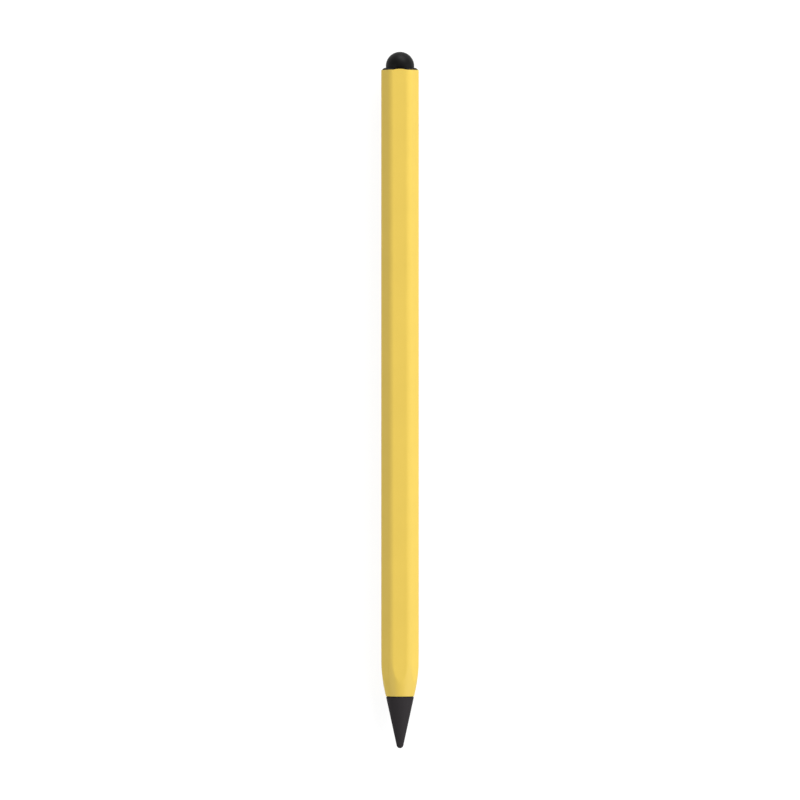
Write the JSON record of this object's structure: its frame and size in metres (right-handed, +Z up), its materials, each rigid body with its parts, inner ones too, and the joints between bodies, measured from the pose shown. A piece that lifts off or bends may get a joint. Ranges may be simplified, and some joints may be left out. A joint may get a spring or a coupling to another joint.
{
  "type": "stylus pen",
  "caption": "Hexagonal stylus pen: a cone nib that unscrews from a sprung stem, a soft round push button on the back end, and a coil, cell, board and force sensor inside.",
  "frame": {"origin": "middle of the pen's length and width, on the flat it lies on", "axes": "+Y along the pen from the nib to the soft tip, +Z up through the flat with the crest, X across the corners"},
  "size_m": [0.009, 0.166, 0.0082],
  "materials": {
    "yellow_plastic": "satin",
    "nib_plastic": "satin",
    "black_plastic": "satin",
    "black_rubber": "matte",
    "silicone": "matte",
    "white_plastic": "satin",
    "grey_plastic": "satin",
    "steel": "satin",
    "brass": "satin",
    "copper": "satin",
    "nickel": "satin",
    "aluminium": "satin",
    "ferrite": "matte",
    "board_green": "satin",
    "chip_black": "matte",
    "flex_amber": "satin",
    "blue_film": "satin",
    "grey_foam": "matte",
    "red_film": "satin",
    "black_film": "satin"
  },
  "bodies": {
    "pen_body": {"barrel": "yellow_plastic", "nose_bushing": "white_plastic", "tilt_electrode": "copper", "nib_spring": "steel", "sensor_housing": "grey_plastic", "force_sensor": "steel", "sensor_board": "board_green", "sensor_flex": "flex_amber", "chassis": "grey_plastic", "main_board": "board_green", "board_screw_front": "steel", "board_screw_back": "steel", "controller_chip": "chip_black", "clock_crystal": "steel", "driver_chip": "chip_black", "power_inductor": "ferrite", "charger_chip": "chip_black", "magnet_front": "nickel", "magnet_back": "nickel", "charging_coil": "copper", "ferrite_plate": "ferrite", "ferrite_bar": "ferrite", "coil_tail": "flex_amber", "cell": "aluminium", "cell_sleeve": "blue_film", "cell_foam": "grey_foam", "front_tab": "nickel", "back_tab": "nickel", "rear_pad": "grey_foam", "positive_lead": "red_film", "negative_lead": "black_film", "switch_holder": "grey_plastic", "switch_board": "board_green", "power_switch": "chip_black", "link_flex": "flex_amber", "button_spring": "steel", "end_cap": "black_plastic", "cap_seal": "silicone"},
    "stem": {"nib_stem": "steel", "stop_collar": "brass", "sensor_pad": "silicone"},
    "nib_ring": {"nib_seal": "silicone"},
    "nib": {"nib": "nib_plastic"},
    "button": {"soft_tip": "black_rubber", "button_plunger": "black_plastic"},
    "actuator": {"switch_actuator": "white_plastic"}
  },
  "joints": [
    {"name": "nib_press", "type": "slide", "parent": "pen_body", "child": "stem", "axis": [0, 1, 0], "range_m": [0, 0.00012], "stiffness_N_per_m": 200, "deforming": ["nib_spring"]},
    {"name": "nib_unscrew", "type": "hinge", "parent": "stem", "child": "nib_ring", "pos_m": [0, -0.07115, 0.00409], "axis": [0, -1, 0], "range_deg": [0, 2161]},
    {"name": "nib_advance", "type": "slide", "parent": "nib_ring", "child": "nib", "axis": [0, -1, 0], "range_m": [0, 0.003]},
    {"name": "button_press", "type": "slide", "parent": "pen_body", "child": "button", "axis": [0, -1, 0], "range_m": [0, 0.0002], "stiffness_N_per_m": 40, "deforming": ["button_spring"]},
    {"name": "actuator_press", "type": "slide", "parent": "pen_body", "child": "actuator", "axis": [0, -1, 0], "range_m": [0, 0.0002]}
  ],
  "couplings": [
    {"joint": "nib_unscrew", "follows": "nib_advance", "rad_per_m": 12566},
    {"joint": "actuator_press", "follows": "button_press", "ratio": 1}
  ]
}
